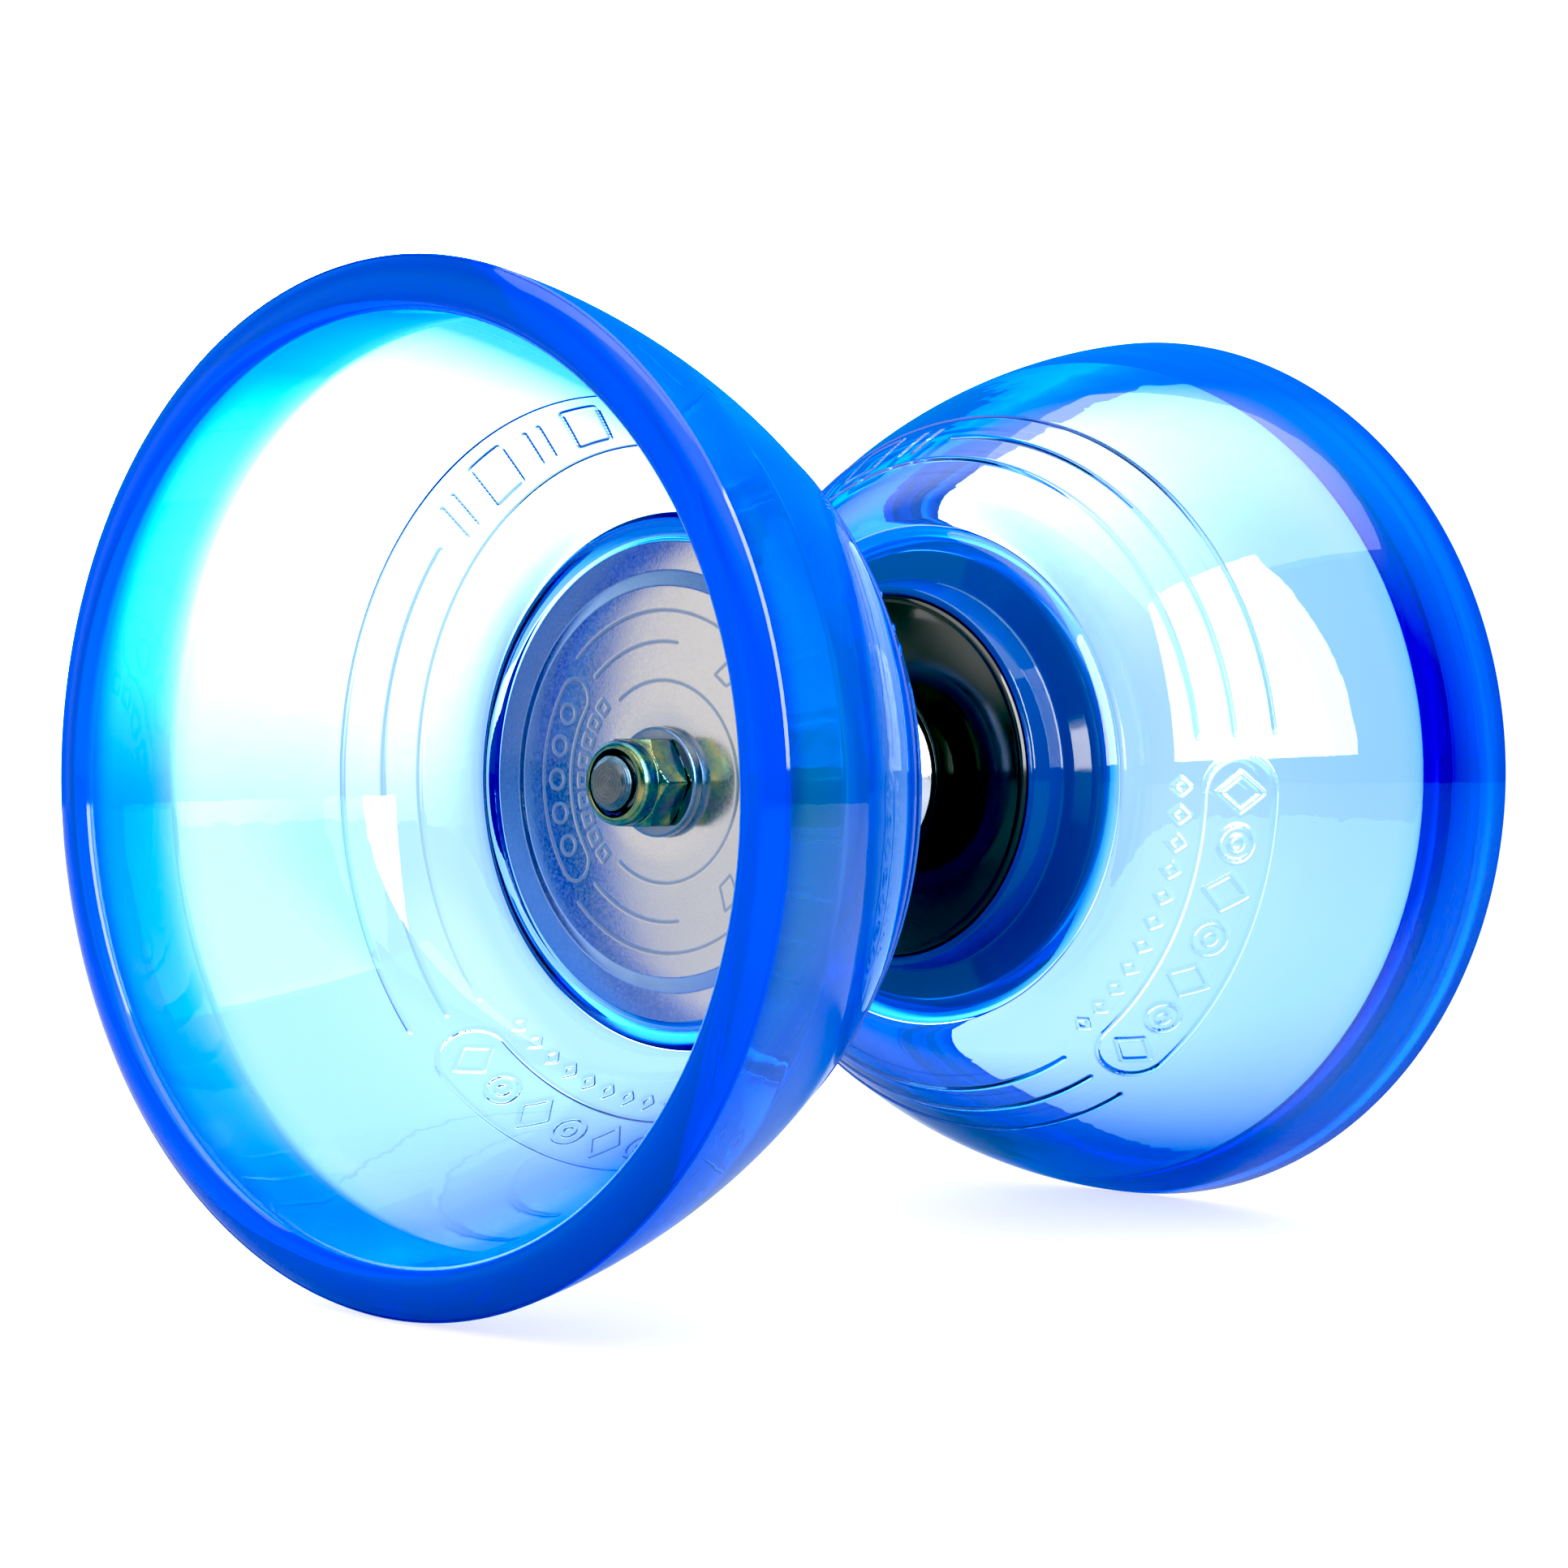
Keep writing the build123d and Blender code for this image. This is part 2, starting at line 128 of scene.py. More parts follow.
def hexagon_radius(flats, angles):
    """Radius of a hexagon with corners straight up and down."""
    return flats / 2 / np.cos((angles - pi / 2 + pi / 6) % (pi / 3) - pi / 6)


# ---------------------------------------------------------------- meshes turned about Y

SHARP_ABOVE = radians(32)


def turned(name, rings, side=1, closed=True, mark=None):
    """A mesh from rings, each (radii, y values) with one radius for each of its columns.

    Neighbouring rings have the same number of columns, or one has a whole multiple of the other's.
    """
    rings = [(np.asarray(r, float), np.broadcast_to(np.asarray(y, float), np.shape(r)))
             for r, y in rings]
    area = sum(a[0].mean() * b[1].mean() - b[0].mean() * a[1].mean()
               for a, b in zip(rings, rings[1:] + rings[:1]))
    verts, starts = [], []
    for radii, ys in rings:
        angles = np.arange(len(radii)) * 2 * pi / len(radii)
        starts.append(sum(len(v) for v in verts))
        verts.append(np.array([radii * np.cos(angles), side * ys, radii * np.sin(angles)]).T)
    faces = []
    pairs = list(range(len(rings) - 1)) + ([len(rings) - 1] if closed else [])
    for i in pairs:
        j = (i + 1) % len(rings)
        n, m = len(rings[i][0]), len(rings[j][0])
        if n == m:
            k = np.arange(n)
            after = (k + 1) % n
            corners = [starts[i] + k, starts[i] + after, starts[j] + after, starts[j] + k]
            faces += np.array(corners).T.tolist()
        else:
            coarse, fine, flip = (i, j, False) if n < m else (j, i, True)
            few, many = sorted((n, m))
            ratio = many // few
            for k in range(few):
                base = [starts[coarse] + k, starts[coarse] + (k + 1) % few]
                comb = [starts[fine] + (k * ratio + q) % many for q in range(ratio, -1, -1)]
                face = base + comb
                faces.append(face[::-1] if flip else face)
    if not closed:
        faces.append(list(range(starts[0], starts[0] + len(rings[0][0])))[::-1])
        faces.append(list(range(starts[-1], starts[-1] + len(rings[-1][0]))))
    if (area > 0) == (side > 0):
        faces = [f[::-1] for f in faces]
    return solid(name, np.concatenate(verts) * MM, faces, mark)


def solid(name, points, faces, mark=None):
    mesh = bpy.data.meshes.new(name)
    mesh.from_pydata(np.asarray(points).tolist(), [], faces)
    mesh.polygons.foreach_set("use_smooth", [True] * len(mesh.polygons))
    mesh.set_sharp_from_angle(angle=SHARP_ABOVE)
    if mark is not None:
        mesh.attributes.new("mark", "FLOAT", "POINT").data.foreach_set("value", mark)
    piece = bpy.data.objects.new(name, mesh)
    bpy.context.scene.collection.objects.link(piece)
    return piece


def rings_of(outline, columns):
    return [(np.full(columns, r), y) for r, y in outline]


def add(piece, body, slot, material, *nodes):
    """Gives a piece its material and its body, and hides the CAD nodes it stands for; slot is not used.
    """
    piece.data.materials.append(material)
    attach(piece, body)
    if nodes:
        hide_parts(*nodes)
    return piece


# ---------------------------------------------------------------- relief on cups and plates


def bead(distance, half):
    """A soft round ridge, as high as 1 on its line."""
    return np.clip(1 - (distance / half) ** 2, 0, 1) ** 1.5


def line_distance(along, across, half_length):
    """Distance to a straight stretch centred on 0."""
    return np.hypot(np.maximum(np.abs(along) - half_length, 0), across)


def box_distance(along, across, half_long, half_wide, corner):
    """Signed distance to a rectangle with rounded corners."""
    q, w = np.abs(along) - half_long + corner, np.abs(across) - half_wide + corner
    return np.hypot(np.maximum(q, 0), np.maximum(w, 0)) + np.minimum(np.maximum(q, w), 0) - corner


def repeated(along, pitch, most):
    """The cell number and the place in the cell; a place past the last cell belongs to the last."""
    cell = np.clip(np.round(along / pitch), -most, most)
    return cell, along - cell * pitch


def wrapped(angles, centre):
    """Angles from a centre, within half a turn, in radians."""
    return (angles - radians(centre) + pi) % (2 * pi) - pi


def nearest(*distances):
    return np.minimum.reduce(distances)


# across is measured along the wall from the middle rib
RIB_RADIUS = 46.6
OUTER_RIBS_ACROSS = (-4.98, 5.6)
BADGE_HALF, BADGE_ACROSS = radians(34), 0.6
BAND_HALF, BAND_ACROSS = radians(62), 0.3
SMALL_ROW_ACROSS = -7.4
BADGE_PITCH, SMALL_PITCH, BAND_PITCH = 6.6, 4.1, 8.9
LINE_HALF = 0.42


def cup_relief(angles, across, badge_angle):
    """Height from 0 to 1: three ribs, a badge of plain shapes, and a band of slanted ones opposite."""
    near = wrapped(angles, badge_angle) * RIB_RADIUS
    far = wrapped(angles, badge_angle + 180) * RIB_RADIUS
    whole = (pi - BADGE_HALF) * RIB_RADIUS
    ribs = nearest(*(line_distance(far, across - at, whole) for at in OUTER_RIBS_ACROSS))
    gap = (BAND_HALF + pi - BADGE_HALF) / 2 * RIB_RADIUS
    reach = (pi - BADGE_HALF - BAND_HALF) / 2 * RIB_RADIUS
    middle = line_distance(np.abs(far) - gap, across, reach)
    up = across - BADGE_ACROSS
    frame_line = np.abs(box_distance(near, up, 24.6, 4.9, 4.9))
    cell, local = repeated(near, BADGE_PITCH, 3)
    rounds = np.abs(np.hypot(local, up) - 2.3)
    inner_round = np.abs(np.hypot(local, up) - 0.9)
    diamonds = np.abs((np.abs(local) + np.abs(up) * 0.8) / 1.28 - 1.9)
    badge = np.where(cell % 2 == 1, diamonds, nearest(rounds, inner_round))
    _, small = repeated(near, SMALL_PITCH, 5)
    small_row = np.abs((np.abs(small) + np.abs(across - SMALL_ROW_ACROSS)) / 1.41 - 0.75)
    cell, local = repeated(far, BAND_PITCH, 5)
    up = across - BAND_ACROSS
    slanted = local + 0.42 * up
    block = np.abs(box_distance(slanted, up, 3.1, 3.3, 0.5))
    strokes = nearest(*(line_distance(up, slanted - at, 2.6) for at in (-1.3, 1.3)))
    band = np.where(cell % 2 == 0, block, strokes)
    return bead(nearest(ribs, middle, frame_line, badge, small_row, band), LINE_HALF)


RING_OUTER, RING_INNER, ETCH_BAND = 21.76, 12.87, 17.8    # radii of the plate's etched marks
FRAME_R, ROUNDS_RUN, SQUARES_RUN, SQUARES_R = 18.7, 18.6, 14.2, 14.0
ROUNDS_PITCH, SQUARES_PITCH, BARS_PITCH = 4.4, 2.6, 3.9
ETCH_HALF, ETCH_FADE, ETCH_DEPTH = 0.12, 0.16, 0.02


def plate_marks(angles, radius):
    """Depth from 0 to 1 of the marks etched in a plate: part rings, framed rounds, squares, bars."""
    left = wrapped(angles, 180)
    right = wrapped(angles, 0)
    rings = nearest(
        line_distance(right * RING_OUTER, radius - RING_OUTER, radians(133.4) * RING_OUTER),
        line_distance(right * RING_INNER, radius - RING_INNER, radians(126) * RING_INNER),
        line_distance((np.abs(right) - radians(106.5)) * ETCH_BAND, radius - ETCH_BAND,
                      radians(25) * ETCH_BAND))
    along = left * ROUNDS_RUN
    frame_line = np.abs(box_distance(along, radius - FRAME_R, 13.6, 2.5, 2.5))
    _, local = repeated(along, ROUNDS_PITCH, 2)
    rounds = np.abs(np.hypot(local, radius - FRAME_R) - 1.25)
    _, local = repeated(left * SQUARES_RUN, SQUARES_PITCH, 4)
    squares = np.abs(box_distance(local, radius - SQUARES_R, 0.75, 0.75, 0.1)) - 0.05
    cell, local = repeated(right * ETCH_BAND, BARS_PITCH, 4)
    up = radius - ETCH_BAND
    slanted = local + 0.35 * up
    block = np.abs(box_distance(slanted, up, 1.3, 1.5, 0.2))
    bars = nearest(*(line_distance(up, slanted - at, 1.3) for at in (-0.55, 0.55)))
    band = np.where(cell % 2 == 0, block, bars)
    thin = nearest(rings, frame_line, rounds, squares, band) - ETCH_HALF
    return np.clip(1 - thin / ETCH_FADE, 0, 1)


# ---------------------------------------------------------------- outlines of the pieces

COARSE, FINE = 240, 1200
FINE_FROM, FINE_TO, FINE_STEP = 39.6, 52.4, 0.2
RIB_HEIGHT = 0.21
# the cup's mark attribute over y: up to 0.5 it deepens the tint, from there to 1 it makes it milky
MARK_Y = [22.4, 23.6, 57.0, 63.0, 70.0, 73.5]
MARK = [0.95, 0, 0, 0.5, 0.5, 1]


def cup(name, side, badge_angle):
    outside = bezier((34.4, 23.7), (43.8, 22.1), (59.1, 49.5), (62.5, 73.4), 900)
    inside = bezier((56.3, 60.0), (52.4, 47.5), (42.4, 24.4), (33.5, 26.4), 60)
    length = np.concatenate([[0], np.cumsum(np.linalg.norm(np.diff(outside, axis=0), axis=1))])

    def at(distances):
        return np.array([np.interp(distances, length, outside[:, k]) for k in (0, 1)]).T

    low, high, middle = (
        np.interp(r, outside[:, 0], length) for r in (FINE_FROM, FINE_TO, RIB_RADIUS))
    rings = rings_of(at(np.linspace(0, low, 8)[:-1]), COARSE)
    fine = np.linspace(low, high, int((high - low) / FINE_STEP))
    angles = np.arange(FINE) * 2 * pi / FINE
    ahead, behind = at(fine + 0.05), at(fine - 0.05)
    slope = (ahead - behind) / np.linalg.norm(ahead - behind, axis=1)[:, None]
    for distance, (r, y), (dr, dy) in zip(fine, at(fine), slope):
        height = RIB_HEIGHT * cup_relief(angles, distance - middle, badge_angle)
        rings.append((r + dy * height, y - dr * height))
    lip = np.vstack([
        through((62.42, 73.55), (62.36, 73.66), (62.28, 73.76), 3),
        arc((58.0, 69.62), 5.88, 43, 90, 14), arc((58.0, 73.4), 2.1, 90, 180, 14)[1:]])
    rim_wall = finely(np.array([lip[-1], (56.3, 60.0)]), 1.2)[1:]
    ring_bead = through((33.5, 26.4), (32.2, 27.2), (30.95, 26.4), 10)[1:]
    recess = [(30.9, 25.55), (30.75, 25.32), (30.6, PLATE_SEAT)]
    rings += rings_of(np.vstack([
        at(np.linspace(high, length[-1], 26)[1:]), lip, rim_wall, inside[1:], ring_bead, recess]), COARSE)
    bore = hexagon_radius(CUP_FLATS, np.arange(COARSE) * 2 * pi / COARSE)
    rings += [(bore + 0.1, PLATE_SEAT), (bore, 25.2), (bore, 17.5), (bore + 0.1, HUB_SEAT)]
    boss = rounded([(24.7, HUB_SEAT), (24.7, 16.4, 0.15), (25.7, 16.4, 0.35), (26.6, 21.5, 0.5),
                    (31.2, 21.5)])
    fillet = arc((31.2, 24.5), 3.0, -90, -15, 10)[1:]
    rings += rings_of(np.vstack([boss, fillet, [[34.22, 23.78]]]), COARSE)
    marks = [np.interp(np.broadcast_to(y, np.shape(r)), MARK_Y, MARK) for r, y in rings]
    return turned(name, rings, side, mark=np.concatenate(marks))


def plate(name, side):
    plain, fine = 360, 1080
    outer = rounded([
        (30.45, PLATE_SEAT), (30.6, PLATE_SEAT, 0.1), (30.6, SPIGOT_END, 0.18),
        (26.8, SPIGOT_END, 0.8), (24.9, PLATE_FACE, 0.8), (23.2, PLATE_FACE)], 6)
    inner = rounded([
        (10.9, PLATE_FACE), (3.75, PLATE_FACE, 0.12), (BORE_R, SPIGOT_END, 0.1),
        (24.5, SPIGOT_END, 0.6), (26.4, PLATE_SEAT, 0.6), (30.4, PLATE_SEAT)], 5)
    angles = np.arange(fine) * 2 * pi / fine
    rings = rings_of(outer, plain)
    etch = [np.zeros(plain * len(outer))]
    for r in np.arange(22.9, 11.2, -0.13):
        marks = plate_marks(angles, r)
        rings.append((np.full(fine, r), PLATE_FACE - ETCH_DEPTH * marks))
        etch.append(marks)
    rings += rings_of(inner, plain)
    etch.append(np.zeros(plain * len(inner)))
    return turned(name, rings, side, mark=np.concatenate(etch))


def hub(name, side):
    columns = 360
    angles = np.arange(columns) * 2 * pi / columns
    flare = through((13.45, 11.62), (19.3, 13.4), (23.5, 15.75), 24)
    face = np.vstack([
        rounded([(12.95, 13.0), (12.95, 11.5, 0.25), (13.3, 11.5)], 6), flare,
        through((23.55, 15.78), (24.33, 16.2), (24.55, 16.75), 8),
        rounded([(24.55, 16.9), (24.55, HUB_SEAT, 0.08), (24.3, HUB_SEAT)], 4)])
    spigot = hexagon_radius(SPIGOT_FLATS, angles)
    rings = rings_of(face, columns)
    rings += [(spigot, HUB_SEAT), (spigot, 26.0), (spigot - 0.25, SPIGOT_END)]
    rings += rings_of(np.array([(ROD_R, SPIGOT_END), (ROD_R, 13.0), (12.6, 13.0)]), columns)
    return turned(name, rings, side)


def washer(name, side):
    return turned(name, rings_of(rounded([
        (BORE_R, PLATE_FACE), (BORE_R, WASHER_FACE, 0.12), (7.0, WASHER_FACE, 0.38),
        (7.0, PLATE_FACE, 0.12), (BORE_R, PLATE_FACE)], 7), 240), side)


def nut(name, side):
    """Chamfered hexagon, round crimped collar, and the groove that holds the nylon ring."""
    columns = 360
    angles = np.arange(columns) * 2 * pi / columns
    corner_r = 6.27
    hexagon = np.minimum(hexagon_radius(NUT_FLATS, angles), corner_r)
    lower = [(28.82, 5.45), (28.95, 5.8), (29.1, 6.05), (29.3, corner_r)]
    middle = [(y, corner_r) for y in np.linspace(29.6, 32.6, 12)]
    upper = [(32.75, corner_r), (32.9, 6.12), (33.05, 5.95), (33.2, 5.8), (33.35, 5.6), (33.45, 5.46)]
    rings = [(np.full(columns, THREAD_R), WASHER_FACE), (np.full(columns, 5.35), WASHER_FACE)]
    rings += [(np.minimum(hexagon, limit), y) for y, limit in lower + middle + upper]
    collar = rounded([(5.46, 33.5), (5.3, 33.55, 0.1), (5.4, 33.8, 0.2), (5.4, 36.2, 1.05),
                      (4.3, 36.2, 0.3), (4.2, 35.9)], 9)
    groove = rounded([(4.8, 35.9), (4.8, 33.8), (THREAD_R, 33.8), (THREAD_R, 28.9)])
    rings += rings_of(np.vstack([collar, groove]), columns)
    return turned(name, rings, side)


def nut_insert(name, side):
    return turned(name, rings_of(rounded([
        (3.52, 33.85), (4.78, 33.85), (4.78, 35.88), (4.15, 35.88, 0.05), (3.75, 35.55, 0.25),
        (3.52, 35.2, 0.1), (3.52, 33.85)], 5), 180), side)


def shaft(name):
    """The rod with its threaded ends, chamfers and the turning rings left on its faces."""
    end, ring_depth, ring_pitch = 37.4, 0.035, 0.52
    root, pitch = 2.95, 1.0
    thread, y = [], 13.0
    while y < 35.4:
        thread += [(THREAD_R, y), (THREAD_R, y + 0.12), (root, y + 0.45), (root, y + 0.58)]
        y += pitch
    face = [(r, end - ring_depth * (0.5 + 0.5 * cos(r * 2 * pi / ring_pitch)))
            for r in np.arange(2.5, 0.05, -0.065)]
    half = [(ROD_R, 0.0), (ROD_R, 5.9), (THREAD_R, 6.0)] + thread
    half += [(THREAD_R, y), (THREAD_R, 36.5), (3.42, 36.7)]
    half += [(2.72, 37.28), (2.6, 37.38)] + face
    outline = [(r, -y) for r, y in half[:0:-1]] + half
    return turned(name, rings_of(np.array(outline), 180), closed=False)


def barrel(name):
    groove = through((12.55, -11.55), (10.0, 0.0), (12.55, 11.55), 60)
    ends = rounded([(12.55, 11.55), (12.5, 12.0, 0.22), (9.55, 12.0, 0.1), (9.5, 6.0), (6.0, 6.0)], 7)
    bore = np.vstack([ends[1:], (ends * [1, -1])[:0:-1]])
    return turned(name, rings_of(np.vstack([groove, bore]), 360))


def thread_lock(name, side):
    """A dried smear of thread-locking fluid between the rod's end and the nylon ring."""
    length, width = 46, 14
    u, v = np.meshgrid(np.linspace(-1, 1, length), np.linspace(0, 2 * pi, width, endpoint=False),
                       indexing="ij")
    angle = radians(-108) + u * radians(40)
    swell = np.sqrt(np.clip(1 - u ** 2, 0.002, 1)) * (0.75 + 0.25 * np.sin(9 * u + 1))
    radius = 3.86 + 0.34 * swell * np.cos(v) + 0.08 * np.sin(13 * u)
    y = side * (35.93 + 0.24 * swell * np.sin(v) + 0.05 * np.sin(7 * u + 2))
    points = np.array([radius * np.cos(angle), y, radius * np.sin(angle)]).reshape(3, -1).T * MM
    faces = []
    for i in range(length - 1):
        for k in range(width):
            q = (k + 1) % width
            faces.append([i * width + k, i * width + q, (i + 1) * width + q, (i + 1) * width + k])
    faces += [list(range(width))[::-1], list(range((length - 1) * width, length * width))]
    if side < 0:
        faces = [f[::-1] for f in faces]
    return solid(name, points, faces)


# ---------------------------------------------------------------- materials


class Nodes:
    """A short way to write a node tree."""

    def __init__(self, name):
        self.material = bpy.data.materials.new(name)
        self.material.use_nodes = True
        self.tree = self.material.node_tree
        self.shader = self.tree.nodes["Principled BSDF"]
        self.output = self.tree.nodes["Material Output"]
        self.place = self.new("ShaderNodeTexCoord").outputs["Object"]

    def new(self, kind, links=None, **settings):
        node = self.tree.nodes.new(kind)
        for key, value in settings.items():
            setattr(node, key, value)
        for key, value in (links or {}).items():
            if hasattr(value, "is_linked"):
                self.tree.links.new(value, node.inputs[key])
            else:
                node.inputs[key].default_value = value
        return node

    def noise(self, scale, detail=4.0, rough=0.55, at=None):
        node = self.new("ShaderNodeTexNoise", {
            "Vector": at or self.place, "Scale": scale, "Detail": detail, "Roughness": rough})
        return node.outputs["Fac"]

    def stretched(self, scale):
        return self.new("ShaderNodeMapping", {"Vector": self.place, "Scale": scale}).outputs["Vector"]

    def ranged(self, value, low, high, to_low, to_high):
        return self.new("ShaderNodeMapRange", {
            "Value": value, "From Min": low, "From Max": high, "To Min": to_low, "To Max": to_high,
        }).outputs["Result"]

    def ramp(self, value, *stops):
        node = self.new("ShaderNodeValToRGB", {"Fac": value})
        band = node.color_ramp.elements
        while len(band) < len(stops):
            band.new(0.5)
        for element, (at, colour) in zip(band, stops):
            element.position = at
            element.color = (*colour, 1)
        return node.outputs["Color"]

    def maths(self, operation, a, b=0.0, c=0.0):
        return self.new("ShaderNodeMath", {0: a, 1: b, 2: c}, operation=operation).outputs["Value"]

    def mix(self, factor, a, b):
        node = self.new("ShaderNodeMix", {"Factor": factor}, data_type="RGBA")
        for key, value in ((6, a), (7, b)):
            if hasattr(value, "is_linked"):
                self.tree.links.new(value, node.inputs[key])
            else:
                node.inputs[key].default_value = (*value, 1)
        return node.outputs[2]

    def radius(self):
        """Distance from the spin axis."""
        parts = self.new("ShaderNodeSeparateXYZ", {"Vector": self.place}).outputs
        flat = self.new("ShaderNodeCombineXYZ", {"X": parts["X"], "Z": parts["Z"]}).outputs["Vector"]
        return self.new("ShaderNodeVectorMath", {0: flat}, operation="LENGTH").outputs["Value"]

    def bump(self, height, strength, distance):
        normal = self.new("ShaderNodeBump", {
            "Height": height, "Strength": strength, "Distance": distance})
        self.tree.links.new(normal.outputs["Normal"], self.shader.inputs["Normal"])

    def set(self, **sockets):
        for key, value in sockets.items():
            socket = self.shader.inputs[key.replace("_", " ")]
            if hasattr(value, "is_linked"):
                self.tree.links.new(value, socket)
            else:
                socket.default_value = (*value, 1) if isinstance(value, tuple) else value


NO_TINT, RIM_TINT, EDGE_ON_TINT = (1.0, 1.0, 1.0), (0.12, 0.74, 1.0), (0.01, 0.14, 0.80)
MILKY_BLUE, DEEP_BLUE, ABSORB_DENSITY = (0.0, 0.135, 0.85), (0.0, 0.565, 0.965, 1), 340.0
CUP_IOR, CUP_SPECULAR, CLOUDIEST, LEAST_CLEAR = 1.53, 0.38, 1.2, 0.54


def clear_plastic():
    """Blue by absorption, with a tint near the rim and where the wall is seen edge on.

    The surface turns cloudy where it is seen edge on, and at the lip and the boss.
    """
    m = Nodes("cup_clear_blue")
    mark = m.new("ShaderNodeAttribute", attribute_name="mark").outputs["Fac"]
    rim, milky = m.ranged(mark, 0, 0.5, 0.0, 1.0), m.ranged(mark, 0.5, 1, 0.0, 1.0)
    facing = m.new("ShaderNodeLayerWeight", {"Blend": 0.5}).outputs["Facing"]
    edge_on = m.ranged(facing, 0.28, 0.62, 0.0, 1.0)
    tint = m.mix(edge_on, m.mix(rim, NO_TINT, RIM_TINT), EDGE_ON_TINT)
    haze = m.ranged(m.noise(55, 5), 0.35, 0.75, 0.0, 0.012)
    cloudy = m.maths("MAXIMUM", milky, m.maths("MULTIPLY", edge_on, CLOUDIEST))
    m.set(Base_Color=m.mix(milky, tint, MILKY_BLUE), IOR=CUP_IOR, Specular_IOR_Level=CUP_SPECULAR)
    m.set(Roughness=m.maths("MULTIPLY_ADD", milky, 0.06, haze))
    m.set(Transmission_Weight=m.ranged(cloudy, 0, CLOUDIEST, 1.0, LEAST_CLEAR))
    m.bump(m.noise(140, 2), 0.05, 0.0004)
    absorb = m.new("ShaderNodeVolumeAbsorption", {"Color": DEEP_BLUE, "Density": ABSORB_DENSITY})
    m.tree.links.new(absorb.outputs["Volume"], m.output.inputs["Volume"])
    return m.material


def metal(name, colour, roughness, spread=0.08, scale=400, grain=0.0, tint=None):
    m = Nodes(name)
    cloud = m.noise(scale, 5)
    m.set(Metallic=1.0, Roughness=m.ranged(cloud, 0.3, 0.7, roughness - spread, roughness + spread))
    m.set(Base_Color=m.mix(m.noise(scale * 0.3, 3), colour, tint or tuple(0.8 * c for c in colour)))
    if grain:
        m.bump(m.noise(scale * 12, 2), grain, 0.00004)
    return m.material


def plate_metal():
    m = Nodes("plate_satin_aluminium")
    etch = m.new("ShaderNodeAttribute", attribute_name="mark").outputs["Fac"]
    cloud = m.noise(180, 5)
    blank = m.mix(cloud, (0.86, 0.76, 0.66), (0.80, 0.71, 0.62))
    m.set(Metallic=1.0, Base_Color=m.mix(m.maths("MULTIPLY", etch, 0.75), blank, (0.36, 0.40, 0.47)))
    base = m.ranged(m.noise(2500, 2), 0.3, 0.7, 0.13, 0.21)
    m.set(Roughness=m.maths("MULTIPLY_ADD", etch, 0.2, base))
    m.bump(m.noise(3600, 3), 0.16, 0.00003)
    return m.material


def iridescent_zinc():
    """Yellow zinc passivation: gold, green, teal, violet and bronze by film thickness and tilt."""
    m = Nodes("nut_passivated_zinc")
    tilt = m.new("ShaderNodeLayerWeight", {"Blend": 0.45}).outputs["Facing"]
    film = m.maths("MULTIPLY_ADD", tilt, 0.55, m.ranged(m.noise(260, 4, 0.6), 0.25, 0.75, 0.0, 0.62))
    colour = m.ramp(
        film, (0.0, (0.52, 0.34, 0.09)), (0.22, (0.62, 0.43, 0.15)), (0.40, (0.24, 0.30, 0.13)),
        (0.56, (0.13, 0.22, 0.20)), (0.72, (0.24, 0.13, 0.20)), (0.88, (0.46, 0.24, 0.15)))
    m.set(Metallic=1.0, Base_Color=colour, Roughness=m.ranged(m.noise(900, 3), 0.3, 0.7, 0.1, 0.3))
    m.bump(m.noise(1500, 3), 0.25, 0.00004)
    return m.material


def turned_steel(name, colour, lines, roughness):
    """Steel with fine rings left by a cutting tool."""
    m = Nodes(name)
    ring = m.maths("SINE", m.maths("MULTIPLY", m.radius(), lines))
    m.set(Metallic=1.0, Base_Color=m.mix(m.noise(700, 4), colour, tuple(0.72 * c for c in colour)))
    m.set(Roughness=m.ranged(m.noise(1200, 3), 0.3, 0.7, roughness - 0.08, roughness + 0.1))
    m.bump(ring, 0.2, 0.00003)
    return m.material


def polished_barrel():
    m = Nodes("barrel_polished_aluminium")
    fine = m.noise(1.0, 2, at=m.stretched((300, 26000, 300)))
    m.set(Metallic=1.0, Base_Color=m.mix(m.noise(120, 3), (0.91, 0.90, 0.89), (0.84, 0.83, 0.81)))
    m.set(Roughness=m.ranged(fine, 0.3, 0.7, 0.08, 0.2))
    m.bump(fine, 0.12, 0.00002)
    return m.material


def black_plastic():
    """Slightly warm, because the view's black level takes away most red."""
    m = Nodes("hub_gloss_black")
    wear = m.ranged(m.noise(90, 6, 0.65), 0.35, 0.75, 0.05, 0.2)
    colour = m.mix(m.noise(200, 3), (0.026, 0.013, 0.006), (0.032, 0.017, 0.008))
    m.set(Base_Color=colour, Roughness=wear)
    m.bump(m.noise(700, 2), 0.05, 0.0001)
    return m.material


def dull(name, colour, darker, roughness, scale=600):
    m = Nodes(name)
    m.set(Base_Color=m.mix(m.noise(scale, 4), colour, darker))
    m.set(Roughness=m.ranged(m.noise(scale * 2, 3), 0.3, 0.7, roughness - 0.08, roughness + 0.1))
    m.bump(m.noise(scale * 4, 3), 0.2, 0.00003)
    return m.material


